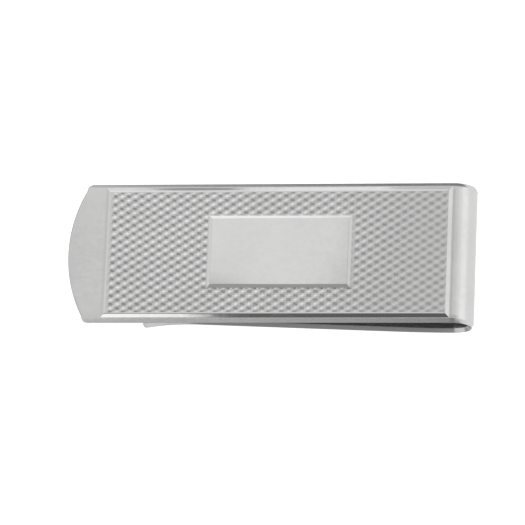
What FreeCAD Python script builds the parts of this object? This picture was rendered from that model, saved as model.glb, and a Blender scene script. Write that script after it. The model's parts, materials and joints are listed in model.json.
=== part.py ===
import FreeCAD, Part
import math
import os

# Money clip: one springy strip folded into a front leaf, a round bend and a rear leaf, with an
# engine-turned panel soldered on the front leaf and a plain engraving plaque soldered on the panel.
# Millimetres.  +X runs from the tab end to the bend, +Y across the strip, +Z out of the front face.
# The origin is under the middle of the clip, on the surface that its rear leaf lies on.

# ---- the strip
clip_length = 54.0          # tab end to the outside of the bend
strip_width = 19.0
strip_thickness = 0.7
edge_round = 0.3            # rounding of the strip's edges, where its thickness allows
edge_round_share = 0.45     # most of the strip's thickness that the rounding takes
bend_radius = 2.9           # outside of the bend
tab_end_radius = 18.4       # the tab's convex end, seen from above
tab_corner_radius = 0.8

# ---- the rear leaf, which rises from the bend to the contact line and curls away in a lip
contact_from_tab = 16.5     # tab end to the contact line
contact_gap = 0.1           # between the closed leaves at the contact line
rise_radius = 40.0          # underside, where the leaf leaves the bend
lip_radius = 12.0           # upper side, over the contact line and down the lip
lip_end_radius = 12.8       # the lip's convex end, seen square to the way that it is cut
lip_end_tilt = 42.0         # degrees between the vertical and the way that the end is cut
lip_corner_radius = 0.6
lip_spare = 12.0            # degrees of lip past its tip, before its end is cut

# ---- the panel and the plaque, each on its film of solder
solder_film = 0.05
panel_thickness = 0.3
panel_from_tab = 4.8        # tab end to the panel's foot
panel_from_bend = 0.05      # panel's foot to the start of the bend
panel_from_edge = 0.6       # panel's foot to the strip's long edges
panel_bevel = 0.6
panel_land = 0.05           # upright part of the panel's edge, below the bevel
plaque_length = 19.0
plaque_width = 9.8
plaque_offset = 0.5         # the plaque's middle, past the panel's towards the bend
plaque_thickness = 0.18
plaque_bevel = 0.4
plaque_land = 0.06

# ---- worked out from those
half_width = strip_width / 2
tab_x = -clip_length / 2
bend_x = clip_length / 2 - bend_radius
rim_round = min(edge_round, edge_round_share * strip_thickness)
front_top = 2 * bend_radius
front_back = front_top - strip_thickness
contact_x = tab_x + contact_from_tab
contact_z = front_back - contact_gap
overshoot = 5.0             # how far cutting tools run past what they cut
tiny = 1e-6                 # below this, two places are the same


def arc(start, middle, end):
    return Part.Arc(start, middle, end).toShape()


def line(start, end):
    return Part.LineSegment(start, end).toShape()


def rectangle(x_low, x_high, y_half, z):
    corners = [(x_low, -y_half), (x_high, -y_half), (x_high, y_half), (x_low, y_half)]
    return Part.makePolygon([FreeCAD.Vector(x, y, z) for x, y in corners + corners[:1]])


def is_upright(edge):
    return edge.BoundBox.XLength < tiny and edge.BoundBox.YLength < tiny


def is_at_bend(edge):
    return edge.BoundBox.XMin > bend_x - tiny


def front_leaf():
    """The flat leaf with its convex tab end."""
    arc_x = tab_x + tab_end_radius
    corner_x = arc_x - math.sqrt(tab_end_radius ** 2 - half_width ** 2)
    low_corner = FreeCAD.Vector(corner_x, -half_width, front_back)
    high_corner = FreeCAD.Vector(corner_x, half_width, front_back)
    low_end = FreeCAD.Vector(bend_x, -half_width, front_back)
    high_end = FreeCAD.Vector(bend_x, half_width, front_back)
    tab_end = arc(high_corner, FreeCAD.Vector(tab_x, 0, front_back), low_corner)
    sides = [line(low_corner, low_end), line(low_end, high_end), line(high_end, high_corner)]
    leaf = Part.Face(Part.Wire(sides + [tab_end])).extrude(FreeCAD.Vector(0, 0, strip_thickness))
    corners = [edge for edge in leaf.Edges if is_upright(edge) and not is_at_bend(edge)]
    leaf = leaf.makeFillet(tab_corner_radius, corners)
    return leaf.makeFillet(rim_round, rims_of(leaf))


def spring_bend():
    """The half-round bend: the strip's rounded section turned through half a circle."""
    stub_length = 1.0
    stub_corner = FreeCAD.Vector(bend_x, -half_width, front_back)
    stub = Part.makeBox(stub_length, strip_width, strip_thickness, stub_corner)
    long_edges = [edge for edge in stub.Edges if edge.BoundBox.XLength > stub_length / 2]
    stub = stub.makeFillet(rim_round, long_edges)
    section = next(face for face in stub.Faces if face.BoundBox.XMax < bend_x + tiny)
    return section.revolve(FreeCAD.Vector(bend_x, 0, bend_radius), FreeCAD.Vector(0, 1, 0), 180)


def straight_run_slope():
    """The slope, in radians, of the straight run that joins the rise and the crest at a tangent."""
    reach = bend_x - contact_x
    radii = rise_radius - strip_thickness + lip_radius
    climb = contact_z - strip_thickness
    run = math.sqrt(reach ** 2 + (radii - climb) ** 2 - radii ** 2)
    return math.atan2(radii, run) - math.atan2(radii - climb, reach)


def rear_leaf():
    """The sprung leaf: a gentle rise, a straight run, the crest at the contact line and the lip."""
    slope = straight_run_slope()
    rise_top = rise_radius - strip_thickness
    lip_under = lip_radius - strip_thickness
    lip_z = contact_z - lip_radius
    lip_angle = math.acos(-lip_z / lip_under)
    lip_end = lip_angle + math.radians(lip_spare)

    def rise(radius, angle):
        return FreeCAD.Vector(bend_x - radius * math.sin(angle), 0, rise_radius - radius * math.cos(angle))

    def crest(radius, angle):
        return FreeCAD.Vector(contact_x - radius * math.sin(angle), 0, lip_z + radius * math.cos(angle))

    outline = [
        line(rise(rise_radius, 0), rise(rise_top, 0)),
        arc(rise(rise_top, 0), rise(rise_top, slope / 2), rise(rise_top, slope)),
        line(rise(rise_top, slope), crest(lip_radius, -slope)),
        arc(crest(lip_radius, -slope), crest(lip_radius, 0), crest(lip_radius, lip_end)),
        line(crest(lip_radius, lip_end), crest(lip_under, lip_end)),
        arc(crest(lip_under, lip_end), crest(lip_under, 0), crest(lip_under, -slope)),
        line(crest(lip_under, -slope), rise(rise_radius, slope)),
        arc(rise(rise_radius, slope), rise(rise_radius, slope / 2), rise(rise_radius, 0)),
    ]
    side = Part.Face(Part.Wire(outline))
    side.translate(FreeCAD.Vector(0, -half_width, 0))
    leaf = side.extrude(FreeCAD.Vector(0, strip_width, 0))
    leaf = leaf.cut(lip_trim(crest(lip_under, lip_angle)))
    corners = [edge for edge in leaf.Edges if edge.Length < 2 * strip_thickness and not is_at_bend(edge)]
    leaf = leaf.makeFillet(lip_corner_radius, corners)
    return leaf.makeFillet(rim_round, rims_of(leaf))


def rims_of(leaf):
    """The edges where one of a leaf's broad faces meets one of its narrow ones, but not at the bend."""
    narrow_area = strip_thickness * clip_length
    rims = []
    for edge in leaf.Edges:
        areas = [face.Area for face in leaf.ancestorsOfType(edge, Part.Face)]
        if min(areas) < narrow_area < max(areas) and not is_at_bend(edge):
            rims.append(edge)
    return rims


def lip_trim(tip):
    """What is cut off past the lip's tip: all that lies ahead of a cylinder standing on the tip."""
    tilt = math.radians(lip_end_tilt)
    up = FreeCAD.Vector(-math.sin(tilt), 0, math.cos(tilt))
    back = FreeCAD.Vector(math.cos(tilt), 0, math.sin(tilt))
    centre = tip + back * lip_end_radius
    height = 2 * overshoot
    round_end = Part.makeCylinder(lip_end_radius, height, centre - up * overshoot, up)
    depth = lip_end_radius + overshoot
    ahead_corner = FreeCAD.Vector(-depth, -half_width - overshoot, -overshoot)
    ahead = Part.makeBox(depth, strip_width + 2 * overshoot, height, ahead_corner)
    ahead.rotate(FreeCAD.Vector(0, 0, 0), FreeCAD.Vector(0, 1, 0), -lip_end_tilt)
    ahead.translate(centre)
    return ahead.cut(round_end)


def bevelled_plate(x_low, x_high, y_half, z_low, thickness, land, bevel):
    """A flat plate whose four edges rise upright for the land and then slope in."""
    foot = Part.makeBox(x_high - x_low, 2 * y_half, land, FreeCAD.Vector(x_low, -y_half, z_low))
    slope_low = rectangle(x_low, x_high, y_half, z_low + land)
    slope_high = rectangle(x_low + bevel, x_high - bevel, y_half - bevel, z_low + thickness)
    return foot.fuse(Part.makeLoft([slope_low, slope_high], True, True)).removeSplitter()


def solder_under(x_low, x_high, y_half, z_low):
    return Part.makeBox(x_high - x_low, 2 * y_half, solder_film, FreeCAD.Vector(x_low, -y_half, z_low))


def applied_plates():
    """The panel on the front leaf and the plaque on the panel, each with the solder that holds it."""
    panel_low = tab_x + panel_from_tab
    panel_high = bend_x - panel_from_bend
    panel_half = half_width - panel_from_edge
    panel_z = front_top + solder_film
    plaque_x = (panel_low + panel_high) / 2 + plaque_offset
    plaque_low = plaque_x - plaque_length / 2
    plaque_high = plaque_x + plaque_length / 2
    plaque_half = plaque_width / 2
    plaque_film_z = panel_z + panel_thickness
    plaque_z = plaque_film_z + solder_film
    return {
        "panel_solder": solder_under(panel_low, panel_high, panel_half, front_top),
        "engine_turned_panel": bevelled_plate(panel_low, panel_high, panel_half, panel_z,
                                              panel_thickness, panel_land, panel_bevel),
        "plaque_solder": solder_under(plaque_low, plaque_high, plaque_half, plaque_film_z),
        "engraving_plaque": bevelled_plate(plaque_low, plaque_high, plaque_half, plaque_z,
                                           plaque_thickness, plaque_land, plaque_bevel),
    }


def main():
    nodes = {"front_leaf": front_leaf(), "spring_bend": spring_bend(), "rear_leaf": rear_leaf()}
    nodes.update(applied_plates())
    os.makedirs("parts", exist_ok=True)
    for name, shape in nodes.items():
        shape.exportStep("parts/" + name + ".step")
        print(f"{name}: {shape.Volume:.2f} mm3, valid {shape.isValid()}, solids {len(shape.Solids)}")


main()
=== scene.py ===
import json
import math

import bpy
import numpy as np
from mathutils import Matrix, Vector


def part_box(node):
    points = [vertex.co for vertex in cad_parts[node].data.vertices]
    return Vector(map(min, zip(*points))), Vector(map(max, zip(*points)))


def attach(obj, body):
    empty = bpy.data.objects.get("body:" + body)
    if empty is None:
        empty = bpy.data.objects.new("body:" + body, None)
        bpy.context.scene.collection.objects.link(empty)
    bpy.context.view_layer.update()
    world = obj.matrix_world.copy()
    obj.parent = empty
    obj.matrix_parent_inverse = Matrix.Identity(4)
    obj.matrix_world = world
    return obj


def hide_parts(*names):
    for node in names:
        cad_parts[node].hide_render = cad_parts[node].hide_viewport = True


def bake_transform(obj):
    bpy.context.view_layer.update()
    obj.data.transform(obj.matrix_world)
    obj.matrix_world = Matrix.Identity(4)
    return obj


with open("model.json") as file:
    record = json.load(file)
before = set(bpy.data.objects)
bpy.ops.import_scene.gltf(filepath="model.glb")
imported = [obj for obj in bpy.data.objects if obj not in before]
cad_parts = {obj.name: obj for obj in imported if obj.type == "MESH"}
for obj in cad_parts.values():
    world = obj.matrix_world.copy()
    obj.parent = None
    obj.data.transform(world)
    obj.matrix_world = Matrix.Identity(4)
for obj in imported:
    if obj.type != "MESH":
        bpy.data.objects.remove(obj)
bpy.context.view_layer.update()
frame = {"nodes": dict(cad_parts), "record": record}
mm = 0.001

# where the CAD pieces are
leafLow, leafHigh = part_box("front_leaf")
bendLow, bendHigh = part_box("spring_bend")
rearLow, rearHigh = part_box("rear_leaf")
panelLow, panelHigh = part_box("engine_turned_panel")
plaqueLow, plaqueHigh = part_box("engraving_plaque")
mountPlaces = {mount["name"]: mount["pos_m"] for mount in frame["record"]["mounts"]}
halfWidth = leafHigh.y
thickness = leafHigh.z - leafLow.z
bendRadius = bendHigh.x - bendLow.x


# camera
cameraView = {
    "distance": 633 * mm,
    "leanToFront": 16.16,   # degrees from straight above, towards the long edge that is nearest
    "leanToBend": 8.98,     # degrees from straight above, towards the bend
    "roll": 2.44,
    "lens": 329.9,
    "sensorWidth": 36,
    "nearest": 0.01,        # metres that the camera sees from and to
    "furthest": 10,
    "aim": (-0.90 * mm, -1.33 * mm),   # across and up the picture, from the middle of the front face
}


def makeCamera(view, middle):
    front, bend, roll = (math.radians(view[key]) for key in ("leanToFront", "leanToBend", "roll"))
    back = Vector((math.sin(bend), -math.sin(front) * math.cos(bend),
                   math.cos(front) * math.cos(bend)))
    right = Vector((0, 1, 0)).cross(back).normalized()
    up = back.cross(right)
    turn = Matrix.Rotation(roll, 3, back)
    right, up = turn @ right, turn @ up
    data = bpy.data.cameras.new("camera")
    data.lens = view["lens"]
    data.sensor_width = view["sensorWidth"]
    data.clip_start = view["nearest"]
    data.clip_end = view["furthest"]
    camera = bpy.data.objects.new("camera", data)
    bpy.context.scene.collection.objects.link(camera)
    target = middle + right * view["aim"][0] + up * view["aim"][1]
    place = Matrix((right, up, back)).transposed().to_4x4()
    place.translation = target + back * view["distance"]
    camera.matrix_world = place
    bpy.context.scene.camera = camera


makeCamera(cameraView, Vector((0, 0, leafHigh.z)))
print("camera placed")


# node trees
class Wire:
    # one output socket; arithmetic on it adds Math nodes
    def __init__(self, graph, socket):
        self.graph = graph
        self.socket = socket

    def out(self, name):
        return Wire(self.graph, self.socket.node.outputs[name])

    def __add__(self, other):
        return self.graph.maths("ADD", self, other)

    def __radd__(self, other):
        return self.graph.maths("ADD", other, self)

    def __sub__(self, other):
        return self.graph.maths("SUBTRACT", self, other)

    def __rsub__(self, other):
        return self.graph.maths("SUBTRACT", other, self)

    def __mul__(self, other):
        return self.graph.maths("MULTIPLY", self, other)

    def __rmul__(self, other):
        return self.graph.maths("MULTIPLY", other, self)

    def __truediv__(self, other):
        return self.graph.maths("DIVIDE", self, other)

    def __rtruediv__(self, other):
        return self.graph.maths("DIVIDE", other, self)

    def __abs__(self):
        return self.graph.maths("ABSOLUTE", self)


class Graph:
    def __init__(self, tree):
        self.tree = tree

    def add(self, kind, settings=None, values=None, output=0):
        node = self.tree.nodes.new(kind)
        for key, value in (settings or {}).items():
            setattr(node, key, value)
        for key, value in (values or {}).items():
            socket = self.find(node, key)
            if isinstance(value, Wire):
                self.tree.links.new(value.socket, socket)
            else:
                socket.default_value = value
        return Wire(self, node.outputs[output]) if len(node.outputs) else node

    def maths(self, operation, *values):
        return self.add("ShaderNodeMath", {"operation": operation}, dict(enumerate(values)))

    def find(self, node, key):
        if isinstance(key, int):
            return node.inputs[key]
        return next(socket for socket in node.inputs if socket.name == key and socket.enabled)


def stretchedNoise(graph, place, scale, detail=2.0, roughness=0.5):
    # noise whose grain is drawn out along the axes with a small scale; scale counts per millimetre
    stretch = graph.add("ShaderNodeVectorMath", {"operation": "MULTIPLY"},
                        {0: place, 1: tuple(value / mm for value in scale)})
    return graph.add("ShaderNodeTexNoise", {}, {"Vector": stretch, "Scale": 1.0, "Detail": detail,
                                                "Roughness": roughness})


def ramp(graph, value, low, high, lowOut=0.0, highOut=1.0):
    return graph.add("ShaderNodeMapRange", {"clamp": True},
                     {"Value": value, "From Min": low, "From Max": high,
                      "To Min": lowOut, "To Max": highOut})


# finishes
finishes = {
    "stripMetal": {"bright": (0.80, 0.80, 0.795), "dull": (0.73, 0.73, 0.725),
                   "roughness": (0.20, 0.27), "lines": 0.12, "scratches": 0.35},
    "turnedMetal": {"bright": (0.77, 0.77, 0.765), "dull": (0.69, 0.69, 0.685),
                    "roughness": (0.15, 0.21), "lines": 0.0, "scratches": 0.1,
                    "dullToBend": 2.66},   # painted shade at the panel's end: darkens the colour and raises the roughness towards the bend
    "polishedMetal": {"bright": (0.82, 0.82, 0.815), "dull": (0.76, 0.76, 0.755),
                      "roughness": (0.04, 0.08), "lines": 0.05, "scratches": 0.2},
    "plaqueMetal": {"bright": (0.89, 0.89, 0.885), "dull": (0.84, 0.84, 0.835),
                    "roughness": (0.13, 0.18), "lines": 0.20, "scratches": 0.35},
    "solderMetal": {"bright": (0.70, 0.70, 0.69), "dull": (0.58, 0.58, 0.57),
                    "roughness": (0.30, 0.45), "lines": 0.0, "scratches": 0.0},
}

# what all the finishes share; the scales count per millimetre along x, y and z
surface = {
    "smudgeScale": (0.09, 0.14, 0.12),
    "polishScale": (0.12, 14.0, 0.12),
    "handlingScale": (1.1, 1.6, 1.3),
    "hairScale": (0.35, 7.0, 0.35),
    "scratchRange": (0.70, 0.74),    # of the noise that shows as scratches
    "dullRange": (0.42, 0.62),       # of the noise that runs from bright to dull
    "smudgeShare": 0.6,
    "handlingShare": 0.4,
    "dullColour": 0.7,
    "scratchColour": 0.3,
    "lineRoughness": 0.1,
    "scratchDepth": -0.5,
    "handlingDepth": 0.12,
    "bumpStrength": 0.12,
    "bumpDistance": 0.01 * mm,
    "dullStart": 3 * mm,             # before the plaque's end, where the painted shade towards the bend starts
}


def makeMetal(name, finish):
    material = bpy.data.materials.new(name)
    material.use_nodes = True
    material.node_tree.nodes.clear()
    graph = Graph(material.node_tree)
    place = graph.add("ShaderNodeTexCoord", output="Object")
    smudges = stretchedNoise(graph, place, surface["smudgeScale"], detail=4.0, roughness=0.6)
    polish = stretchedNoise(graph, place, surface["polishScale"], detail=3.0, roughness=0.7)
    handling = stretchedNoise(graph, place, surface["handlingScale"], detail=5.0, roughness=0.7)
    hairs = stretchedNoise(graph, place, surface["hairScale"], detail=1.0)
    scratch = ramp(graph, hairs, *surface["scratchRange"])
    dullnessAndShade = ramp(graph, smudges * surface["smudgeShare"] + handling * surface["handlingShare"],
                    *surface["dullRange"])
    if "dullToBend" in finish:
        # painted shade: darker and rougher towards the bend, which softens the grains there
        along = graph.add("ShaderNodeSeparateXYZ", {}, {0: place}, output="X")
        dullnessAndShade = dullnessAndShade + ramp(graph, along, plaqueHigh.x - surface["dullStart"], panelHigh.x,
                                   0.0, finish["dullToBend"])
    # on the turned field, the darkening towards the bend mixed in here is painted shade
    mixing = dullnessAndShade * surface["dullColour"] + scratch * (surface["scratchColour"] * finish["scratches"])
    colour = graph.add("ShaderNodeMix", {"data_type": "RGBA"},
                       {"Factor": mixing, "A": (*finish["bright"], 1), "B": (*finish["dull"], 1)}, output=2)
    low, high = finish["roughness"]
    lineRoughness = (polish - 0.5) * (surface["lineRoughness"] * finish["lines"])
    roughness = low + dullnessAndShade * (high - low) + lineRoughness
    height = polish * finish["lines"] + scratch * (surface["scratchDepth"] * finish["scratches"])
    height = height + handling * surface["handlingDepth"]
    bump = graph.add("ShaderNodeBump", {}, {"Strength": surface["bumpStrength"],
                                            "Distance": surface["bumpDistance"], "Height": height})
    shader = graph.add("ShaderNodeBsdfPrincipled", {},
                       {"Base Color": colour, "Metallic": 1.0, "Roughness": roughness, "Normal": bump})
    graph.add("ShaderNodeOutputMaterial", {}, {"Surface": shader})
    return material


metals = {name: makeMetal(name, finish) for name, finish in finishes.items()}
print("finishes made")


# the strip
strip = {
    "edgeWidth": 0.52 * mm,      # how far the easing of its long edges reaches in
    "edgeDrop": 0.28 * mm,
    "edgeFullness": 0.93,
    "edgeSteps": 12,
    "endRound": 0.30 * mm,       # rounding of its free ends
    "endSteps": 8,
    "endRows": 14,               # between the even rows and the rounding of an end
    "endClear": 0.5 * mm,        # least distance from the last even row to the end
    "frontRows": 40,
    "riseRows": 8,
    "runRows": 14,
    "crestRows": 40,
    "across": 48,
    "acrossBend": 8,
    "bendSteps": 120,
    "tabEndRadius": 18.4 * mm,
    "tabCorner": 0.8 * mm,
    "riseRadius": 40 * mm,       # underside of the rear leaf where it leaves the bend
    "lipRadius": 12 * mm,        # upper side of the lip
    "lipEndRadius": 12.8 * mm,
    "lipEndTilt": 42.0,          # degrees from upright, the way the lip's end is cut
    "lipCorner": 0.6 * mm,
}


def makePiece(name, points, faces, material, sharpAngle=30):   # degrees
    mesh = bpy.data.meshes.new(name)
    mesh.from_pydata([tuple(point) for point in points], [], faces)
    mesh.validate()
    mesh.materials.append(material)
    mesh.shade_smooth()
    mesh.set_sharp_from_angle(angle=math.radians(sharpAngle))
    piece = bpy.data.objects.new(name, mesh)
    bpy.context.scene.collection.objects.link(piece)
    return piece


def arcSteps(start, end, count):
    return [math.radians(start + (end - start) * step / count) for step in range(count + 1)]


def stripSection(across):
    # (y, height) round the strip's section, as an upper chain and its mirror image below
    upper = [(-halfWidth + inward, thickness - drop) for inward, drop in easedEdge()]
    flat = halfWidth - strip["edgeWidth"]
    upper += [(-flat * math.cos(math.pi * step / across), thickness) for step in range(1, across)]
    upper += [(halfWidth - inward, thickness - drop) for inward, drop in reversed(easedEdge())]
    lower = [(y, thickness - height) for y, height in upper]
    return upper, lower


def easedEdge():
    # (distance in from the side, drop below the face) along the curve that breaks the strip's long edge
    full = strip["edgeFullness"]
    curve = []
    for step in range(strip["edgeSteps"] + 1):
        part = step / strip["edgeSteps"]
        rest = 1 - part
        inward = 3 * rest * part ** 2 * full + part ** 3
        drop = rest ** 3 + 3 * rest ** 2 * part * full
        curve.append((strip["edgeWidth"] * inward, strip["edgeDrop"] * drop))
    return curve


def closeLoops(loops, count):
    # loops of points, each an upper chain and then a lower chain of count points, made a closed skin
    points = [point for upper, lower in loops for point in list(upper) + list(lower)]
    around = list(range(count)) + list(range(2 * count - 1, count - 1, -1))
    faces = []
    for row in range(len(loops) - 1):
        first, second = row * 2 * count, (row + 1) * 2 * count
        for here, there in zip(around, around[1:] + around[:1]):
            faces.append((first + here, first + there, second + there, second + here))
    last = (len(loops) - 1) * 2 * count
    for step in range(count - 1):
        faces.append((step + 1, step, count + step, count + step + 1))
        faces.append((last + step, last + step + 1, last + count + step + 1, last + count + step))
    return points, faces


def roundedEnd(y, corner, endLength):
    # how far the strip reaches at y, where endLength is its reach before its corners are rounded
    flat = halfWidth - corner
    if abs(y) <= flat:
        return endLength(y)
    drop = corner - math.sqrt(max(corner ** 2 - (abs(y) - flat) ** 2, 0))
    return endLength(flat) - drop


def leafPiece(name, place, stations, reach):
    # place(s, height) is a point of the strip in its own side view, stations are the s of its rows,
    # and reach(y) is the s of its free end
    upper, lower = stripSection(strip["across"])
    count = len(upper)
    shortest = min(reach(y) for y, height in upper)
    foot = max(s for s in stations if s < shortest - strip["endClear"])
    rows = [lambda y, s=s: (s, 1.0) for s in stations if s <= foot]
    steps = strip["endRows"]
    for step in range(1, steps + 1):
        rows.append(lambda y, part=step / steps:
                    (foot + (reach(y) - strip["endRound"] - foot) * part, 1.0))
    squeeze = strip["endRound"] / (thickness / 2)
    for turn in arcSteps(0, 90, strip["endSteps"])[1:]:
        rows.append(lambda y, turn=turn: (reach(y) - strip["endRound"] * (1 - math.sin(turn)),
                                          1 - squeeze * (1 - math.cos(turn))))
    loops = []
    for row in rows:
        chains = []
        for chain in (upper, lower):
            ring = []
            for y, height in chain:
                s, share = row(y)
                level = thickness / 2 + (height - thickness / 2) * share
                x, z = place(s, level)
                ring.append((x, y, z))
            chains.append(ring)
        loops.append(chains)
    points, faces = closeLoops(loops, count)
    return makePiece(name, points, faces, metals["stripMetal"])


def makeFrontLeaf():
    bendX = leafHigh.x
    arcRadius = strip["tabEndRadius"]
    length = bendX - leafLow.x

    def place(s, height):
        return bendX - s, leafLow.z + height

    def endLength(y):
        return length - (arcRadius - math.sqrt(arcRadius ** 2 - y ** 2))

    rows = strip["frontRows"]
    stations = [length * step / rows for step in range(rows)]
    piece = leafPiece("frontLeaf", place, stations,
                      lambda y: roundedEnd(y, strip["tabCorner"], endLength))
    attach(piece, "front")
    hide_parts("front_leaf")


def makeRearLeaf():
    bendX = bendLow.x
    contactX, contactZ = mountPlaces["note_slot"][0], rearHigh.z
    riseTop = strip["riseRadius"] - thickness
    lipRadius = strip["lipRadius"]
    lipZ = contactZ - lipRadius
    lipUnder = lipRadius - thickness
    across = bendX - contactX
    radii = riseTop + lipRadius
    climb = contactZ - thickness
    run = math.sqrt(across ** 2 + (radii - climb) ** 2 - radii ** 2)
    slope = math.atan2(radii, run) - math.atan2(radii - climb, across)
    lipAngle = math.acos(-lipZ / lipUnder)
    riseLength = riseTop * slope
    crestStart = riseLength + run

    def place(s, height):
        # height counts from the underside
        if s < riseLength:
            turn = s / riseTop
            radius = strip["riseRadius"] - height
            return bendX - radius * math.sin(turn), strip["riseRadius"] - radius * math.cos(turn)
        if s < crestStart:
            radius = strip["riseRadius"] - height
            x = bendX - radius * math.sin(slope) - (s - riseLength) * math.cos(slope)
            z = strip["riseRadius"] - radius * math.cos(slope) + (s - riseLength) * math.sin(slope)
            return x, z
        turn = (s - crestStart) / lipRadius - slope
        radius = lipUnder + height
        return contactX - radius * math.sin(turn), lipZ + radius * math.cos(turn)

    tilt = math.radians(strip["lipEndTilt"])

    def endLength(y):
        sagitta = strip["lipEndRadius"] - math.sqrt(strip["lipEndRadius"] ** 2 - y ** 2)
        turn = tilt - math.asin((sagitta + lipUnder * math.sin(tilt - lipAngle)) / lipUnder)
        return crestStart + (turn + slope) * lipRadius

    crestLength = (slope + lipAngle) * lipRadius
    stations = []
    for start, length, rows in ((0.0, riseLength, strip["riseRows"]), (riseLength, run, strip["runRows"]),
                                (crestStart, crestLength, strip["crestRows"])):
        stations += [start + length * step / rows for step in range(rows)]
    piece = leafPiece("rearLeaf", place, stations,
                      lambda y: roundedEnd(y, strip["lipCorner"], endLength))
    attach(piece, "rear")
    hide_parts("rear_leaf")


def makeBend():
    upper, lower = stripSection(strip["acrossBend"])
    loops = []
    for turn in arcSteps(0, 180, strip["bendSteps"]):
        chains = []
        for chain in (upper, lower):
            ring = []
            for y, height in chain:
                radius = bendRadius - thickness + height
                ring.append((bendLow.x + radius * math.sin(turn), y, bendRadius + radius * math.cos(turn)))
            chains.append(ring)
        loops.append(chains)
    points, faces = closeLoops(loops, len(upper))
    piece = makePiece("springBend", points, [face[::-1] for face in faces], metals["stripMetal"])
    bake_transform(piece)
    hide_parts("spring_bend")


makeFrontLeaf()
makeRearLeaf()
makeBend()
print("strip made")


# the engine-turned panel
panel = {
    "land": 0.05 * mm,
    "bevel": 0.60 * mm,          # the bevel's width, were it to run up to the tops of the grains
    "frameRound": 0.06 * mm,     # where the bevel meets the plain frame
    "roundDrop": 0.3,            # of that rounding's fall, at its middle
    "frameWidth": 0.15 * mm,     # plain flat between the bevel and the grains
    "bandWidth": 0.569 * mm,     # from one row of grains to the next
    "waveLength": 1.758 * mm,    # from one grain to the next along a row
    "bandShift": -0.48,          # of the pattern across the panel, in bands
    "waveShift": 0.14,            # along the panel, in grains
    "bandSteps": 8,
    "waveSteps": 14,
    "depth": 0.09 * mm,
    "fade": 0.22 * mm,           # over which the grains rise from the plain frame
    "seatRamp": 0.18 * mm,       # over which the grains run out beside the plaque
    "sharpAngle": 24,            # degrees
}
frameLevel = panelHigh.z - panelLow.z - panel["depth"] / 2
bevelHeight = panelHigh.z - panelLow.z - panel["land"]
frameInset = panel["bevel"] * (frameLevel - panel["land"]) / bevelHeight


def panelGrid():
    rim = frameInset + panel["frameWidth"]
    low = Vector((panelLow.x + rim, panelLow.y + rim))
    high = Vector((panelHigh.x - rim, panelHigh.y - rim))
    columns = round((high.x - low.x) / panel["waveLength"] * panel["waveSteps"])
    rows = round((high.y - low.y) / panel["bandWidth"] * panel["bandSteps"])
    xs = np.linspace(low.x, high.x, columns + 1)
    ys = np.linspace(low.y, high.y, rows + 1)
    points = [(x, y, panelLow.z + frameLevel) for y in ys for x in xs]
    wide = columns + 1
    faces = []
    for row in range(rows):
        for first in range(row * wide, row * wide + columns):
            faces.append((first, first + 1, first + wide + 1, first + wide))
    loop = list(range(columns)) + [row * wide + columns for row in range(rows)]
    loop += [rows * wide + column for column in range(columns, 0, -1)]
    loop += [row * wide for row in range(rows, 0, -1)]
    return points, faces, loop, low, high


def rimLevels():
    # (inset, height above the foot) from the plain frame out and down to the foot
    edge = panel["frameRound"]
    rise = (frameLevel - panel["land"]) / frameInset
    return [(frameInset + edge, frameLevel),
            (frameInset, frameLevel - edge * rise * panel["roundDrop"]),
            (frameInset - edge, frameLevel - edge * rise),
            (frameInset - 2 * edge, frameLevel - 2 * edge * rise),
            (0.0, panel["land"]), (0.0, 0.0)]


def makePanel():
    points, faces, loop, low, high = panelGrid()
    inner = loop
    fieldFaces = len(faces)
    middle = (low + high) / 2
    for inset, height in rimLevels():
        spread = Vector((panelHigh.x - inset - middle.x, panelHigh.y - inset - middle.y))
        ring = []
        for index in loop:
            x = middle.x + (points[index][0] - middle.x) / (high.x - middle.x) * spread.x
            y = middle.y + (points[index][1] - middle.y) / (high.y - middle.y) * spread.y
            ring.append(len(points))
            points.append((x, y, panelLow.z + height))
        for step in range(len(loop)):
            after = (step + 1) % len(loop)
            faces.append((inner[step], ring[step], ring[after], inner[after]))
        inner = ring
    faces.append(inner[::-1])
    piece = makePiece("engineTurnedPanel", points, faces, metals["polishedMetal"])
    cutFaces = piece.data.attributes.new("cut", "BOOLEAN", "FACE")
    cutFaces.data.foreach_set("value", np.arange(len(faces)) < fieldFaces)
    turnPanel(piece, middle, high - middle)
    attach(piece, "front")
    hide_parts("engine_turned_panel")


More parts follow.
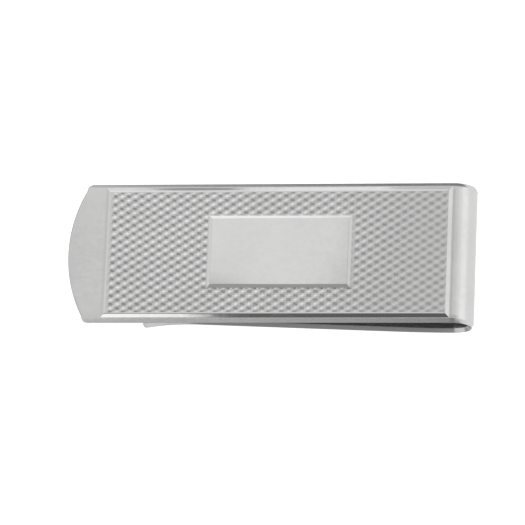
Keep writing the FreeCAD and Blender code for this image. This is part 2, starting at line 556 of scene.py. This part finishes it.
def turningTree():
    # raises rows of grains, every second row half a grain along, and leaves the plaque's seat flat
    tree = bpy.data.node_groups.new("barleycorn", "GeometryNodeTree")
    tree.interface.new_socket("Geometry", in_out="INPUT", socket_type="NodeSocketGeometry")
    for name in ("Middle X", "Half X", "Half Y", "Wave Length", "Band Width", "Wave Shift",
                 "Band Shift", "Depth", "Fade", "Seat X", "Seat Half X", "Seat Half Y", "Seat Ramp"):
        tree.interface.new_socket(name, in_out="INPUT", socket_type="NodeSocketFloat")
    tree.interface.new_socket("Finish", in_out="INPUT", socket_type="NodeSocketMaterial")
    tree.interface.new_socket("Geometry", in_out="OUTPUT", socket_type="NodeSocketGeometry")
    graph = Graph(tree)
    given = graph.add("NodeGroupInput", output="Geometry")
    place = graph.add("GeometryNodeInputPosition")
    placeX = graph.add("ShaderNodeSeparateXYZ", {}, {0: place}, output="X")
    x = placeX - given.out("Middle X")
    y = placeX.out("Y")
    grains = x / given.out("Wave Length") + given.out("Wave Shift")
    bands = y / given.out("Band Width") + given.out("Band Shift")
    along = graph.maths("SINE", grains * (2 * math.pi))
    across = graph.maths("SINE", bands * math.pi)
    inset = graph.maths("MINIMUM", given.out("Half X") - abs(x), given.out("Half Y") - abs(y))
    fade = ramp(graph, inset, 0.0, given.out("Fade"))
    seatX = abs(placeX - given.out("Seat X")) - given.out("Seat Half X")
    toSeat = graph.maths("MAXIMUM", seatX, abs(y) - given.out("Seat Half Y"))
    seat = ramp(graph, toSeat, 0.0, given.out("Seat Ramp"), 1.0, 0.0)
    level = along * across * fade * (1.0 - seat) + seat
    lift = graph.add("ShaderNodeCombineXYZ", {}, {"Z": level * given.out("Depth") * 0.5})
    raised = graph.add("GeometryNodeSetPosition", {}, {"Geometry": given, "Offset": lift})
    solid = graph.add("GeometryNodeRealizeInstances", {}, {"Geometry": raised})
    cutFaces = graph.add("GeometryNodeInputNamedAttribute", {"data_type": "BOOLEAN"},
                         {"Name": "cut"})
    finished = graph.add("GeometryNodeSetMaterial", {},
                         {"Geometry": solid, "Selection": cutFaces, "Material": given.out("Finish")})
    graph.add("NodeGroupOutput", {}, {"Geometry": finished})
    return tree


def setInputs(modifier, values):
    sockets = {item.name: item.identifier for item in modifier.node_group.interface.items_tree
               if item.in_out == "INPUT"}
    for name, value in values.items():
        modifier[sockets[name]] = value


def bakeModifier(piece, modifier):
    # the evaluated mesh takes the piece's place, and the modifier goes
    evaluated = piece.evaluated_get(bpy.context.evaluated_depsgraph_get())
    mesh = bpy.data.meshes.new_from_object(evaluated)
    old = piece.data
    piece.modifiers.remove(modifier)
    piece.data = mesh
    bpy.data.meshes.remove(old)
    mesh.name = piece.name


def turnPanel(piece, middle, half):
    modifier = piece.modifiers.new("barleycorn", "NODES")
    modifier.node_group = turningTree()
    setInputs(modifier, {
        "Middle X": middle.x, "Half X": half.x, "Half Y": half.y,
        "Wave Length": panel["waveLength"], "Band Width": panel["bandWidth"],
        "Wave Shift": panel["waveShift"], "Band Shift": panel["bandShift"],
        "Depth": panel["depth"], "Fade": panel["fade"],
        "Seat X": (plaqueLow.x + plaqueHigh.x) / 2,
        "Seat Half X": (plaqueHigh.x - plaqueLow.x) / 2, "Seat Half Y": plaqueHigh.y,
        "Seat Ramp": panel["seatRamp"], "Finish": metals["turnedMetal"],
    })
    bakeModifier(piece, modifier)
    piece.data.shade_smooth()
    piece.data.set_sharp_from_angle(angle=math.radians(panel["sharpAngle"]))


makePanel()
print("engine turning cut")


# the plaque
plaque = {
    "land": 0.06 * mm,
    "bevel": 0.4 * mm,
    "edgeRound": 0.04 * mm,
    "roundDrop": 0.35,           # of that rounding's fall, at its middle
    "sharpAngle": 12,            # degrees
}


def makePlaque():
    top = plaqueHigh.z - plaqueLow.z
    rise = (top - plaque["land"]) / plaque["bevel"]
    edge = plaque["edgeRound"]
    levels = [(0.0, 0.0), (0.0, plaque["land"]),
              (plaque["bevel"] - 2 * edge, top - 2 * edge * rise),
              (plaque["bevel"] - edge, top - edge * rise),
              (plaque["bevel"], top - edge * rise * plaque["roundDrop"]),
              (plaque["bevel"] + edge, top)]
    points = []
    for inset, height in levels:
        for signX, signY in ((-1, -1), (1, -1), (1, 1), (-1, 1)):
            x = plaqueLow.x + inset if signX < 0 else plaqueHigh.x - inset
            points.append((x, signY * (plaqueHigh.y - inset), plaqueLow.z + height))
    faces = [(3, 2, 1, 0)]
    for level in range(len(levels) - 1):
        for side in range(4):
            after = (side + 1) % 4
            below, above = level * 4, level * 4 + 4
            faces.append((below + side, below + after, above + after, above + side))
    last = (len(levels) - 1) * 4
    faces.append((last, last + 1, last + 2, last + 3))
    piece = makePiece("engravingPlaque", points, faces, metals["polishedMetal"],
                      plaque["sharpAngle"])
    piece.data.materials.append(metals["plaqueMetal"])
    piece.data.polygons[len(faces) - 1].material_index = 1
    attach(piece, "front")
    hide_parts("engraving_plaque")


makePlaque()
for name in ("panel_solder", "plaque_solder"):
    frame["nodes"][name].data.materials.clear()
    frame["nodes"][name].data.materials.append(metals["solderMetal"])
print("plaque and solder made")


# studio
studio = {
    "floorSize": 3.0,
    "floorColour": (0.5, 0.5, 0.5, 1),
    "floorGlow": 0.75,           # of the floor itself, as on a light table
    "roughness": 0.9,            # of the floor and the cards
    "sky": 0.74,
    "lampHeight": 1.1,
    "lampSize": 1.2,
    "lampWatts": 9.0,
}

lift = 0.05 * mm                 # of the cards that lie on the floor

# cards that only the metal mirrors: two corners in metres, and glow is how bright the card is
cards = {
    # overhead
    "fieldShadeLeft": {"low": (-0.60, -0.22, 0.60), "high": (-0.15, 0.03, 0.60), "glow": 0.30},
    "fieldShade": {"low": (-0.15, -0.22, 0.60), "high": (-0.03, 0.03, 0.60), "glow": 0.36},
    "fieldShadeRight": {"low": (-0.03, -0.22, 0.60), "high": (0.35, 0.03, 0.60), "glow": 0.50},
    "grainShade": {"low": (-0.04, 0.03, 0.60), "high": (0.35, 0.10, 0.60), "glow": 0.46},
    "edgeShade": {"low": (-0.125, -0.39, 0.60), "high": (0.32, -0.22, 0.60), "glow": 0.12},
    "rimShade": {"low": (-0.125, -0.60, 0.60), "high": (0.32, -0.39, 0.60), "glow": 0.22},
    "leftBox": {"low": (-0.60, -0.39, 0.60), "high": (-0.125, -0.22, 0.60), "glow": 1.15},
    "leftRim": {"low": (-0.60, -0.60, 0.60), "high": (-0.125, -0.39, 0.60), "glow": 0.66},
    "tabShade": {"low": (-0.21, 0.03, 0.60), "high": (-0.135, 0.12, 0.60), "glow": 0.36},
    "plaqueBox": {"low": (-0.111, 0.10, 0.60), "high": (-0.020, 0.30, 0.60), "glow": 0.76},
    "rightDim": {"low": (-0.020, 0.10, 0.60), "high": (0.06, 0.30, 0.60), "glow": 0.46},
    "rightBox": {"low": (0.06, 0.10, 0.60), "high": (0.30, 0.45, 0.60), "glow": 0.74},
    "bendBox": {"low": (0.30, 0.10, 0.60), "high": (0.50, 0.45, 0.60), "glow": 0.86},
    # at the ends
    "rightWall": {"low": (0.80, -0.40, 0.20), "high": (0.80, 0.90, 0.90), "glow": 1.0},
    "rightFoot": {"low": (0.80, -0.40, 0.0), "high": (0.80, 0.90, 0.20), "glow": 0.86},
    "leftWall": {"low": (-0.80, -0.40, 0.15), "high": (-0.80, 0.90, 0.60), "glow": 0.63},
    # behind
    "backBright": {"low": (-0.50, 0.60, 0.42), "high": (-0.105, 0.60, 0.90), "glow": 1.05},
    "backGrey": {"low": (-0.105, 0.60, 0.42), "high": (-0.065, 0.60, 0.90), "glow": 0.88},
    "backDim": {"low": (-0.065, 0.60, 0.42), "high": (0.60, 0.60, 0.90), "glow": 0.55},
    "lowLeft": {"low": (-0.50, 0.60, 0.29), "high": (-0.136, 0.60, 0.42), "glow": 0.82},
    "lowStrip": {"low": (-0.136, 0.60, 0.29), "high": (-0.113, 0.60, 0.42), "glow": 0.36},
    "lowRight": {"low": (-0.113, 0.60, 0.29), "high": (-0.072, 0.60, 0.42), "glow": 0.95},
    "lowEnd": {"low": (-0.072, 0.60, 0.29), "high": (0.60, 0.60, 0.42), "glow": 0.62},
    "backHorizon": {"low": (-0.135, 0.60, 0.0), "high": (0.60, 0.60, 0.29), "glow": 0.20},
    # in front
    "frontLeft": {"low": (-0.60, -0.60, 0.0), "high": (-0.115, -0.60, 0.60), "glow": 0.62},
    "frontRight": {"low": (-0.115, -0.60, 0.0), "high": (0.60, -0.60, 0.60), "glow": 0.25},
    # on the floor: painted shade, sheets darker than the floor itself that stand in for it where the metal
    # mirrors it, for the clip's shadow on the floor
    "floorFrontLeft": {"low": (-0.60, -0.60, lift), "high": (-0.0095, -0.0097, lift), "glow": 0.42},
    "floorFront": {"low": (-0.0095, -0.60, lift), "high": (0.0275, -0.0097, lift), "glow": 0.32},
    "floorBack": {"low": (-0.60, 0.0097, lift), "high": (0.0275, 0.60, lift), "glow": 0.30},
    "floorRight": {"low": (0.0275, -0.60, lift), "high": (0.80, 0.60, lift), "glow": 0.83},
    "floorLeft": {"low": (-0.60, -0.0097, lift), "high": (-0.0275, 0.0097, lift), "glow": 0.5},
}


def plainMaterial(name, colour, glow):
    material = bpy.data.materials.new(name)
    material.use_nodes = True
    shader = material.node_tree.nodes["Principled BSDF"]
    shader.inputs["Base Color"].default_value = colour
    shader.inputs["Roughness"].default_value = studio["roughness"]
    shader.inputs["Specular IOR Level"].default_value = 0.0
    shader.inputs["Emission Color"].default_value = (1, 1, 1, 1)
    shader.inputs["Emission Strength"].default_value = glow
    return material


def makeSheet(name, low, high, material):
    # a flat rectangle between two corners that share one coordinate
    flat = next(axis for axis in range(3) if low[axis] == high[axis])
    first, second = (axis for axis in range(3) if axis != flat)
    corners = []
    for atFirst, atSecond in ((low, low), (high, low), (high, high), (low, high)):
        corner = list(low)
        corner[first], corner[second] = atFirst[first], atSecond[second]
        corners.append(corner)
    sheet = makePiece(name, corners, [(0, 1, 2, 3)], material)
    return sheet


def makeCard(name, card):
    black = plainMaterial(name, (0, 0, 0, 1), card["glow"])
    sheet = makeSheet(name, card["low"], card["high"], black)
    sheet.visible_camera = False
    sheet.visible_diffuse = False
    sheet.visible_shadow = False


def makeStudio():
    world = bpy.data.worlds.new("studio")
    world.use_nodes = True
    background = world.node_tree.nodes["Background"]
    background.inputs["Color"].default_value = (studio["sky"],) * 3 + (1,)
    bpy.context.scene.world = world
    half = studio["floorSize"] / 2
    makeSheet("floor", (-half, -half, 0), (half, half, 0),
              plainMaterial("floorPaper", studio["floorColour"], studio["floorGlow"]))
    for name, card in cards.items():
        makeCard(name, card)
    data = bpy.data.lights.new("overhead", "AREA")
    data.size = studio["lampSize"]
    data.energy = studio["lampWatts"]
    lamp = bpy.data.objects.new("overhead", data)
    lamp.location = (0, 0, studio["lampHeight"])
    lamp.visible_glossy = False
    bpy.context.scene.collection.objects.link(lamp)
    bpy.context.scene.view_settings.view_transform = "Standard"


makeStudio()
print("studio made")
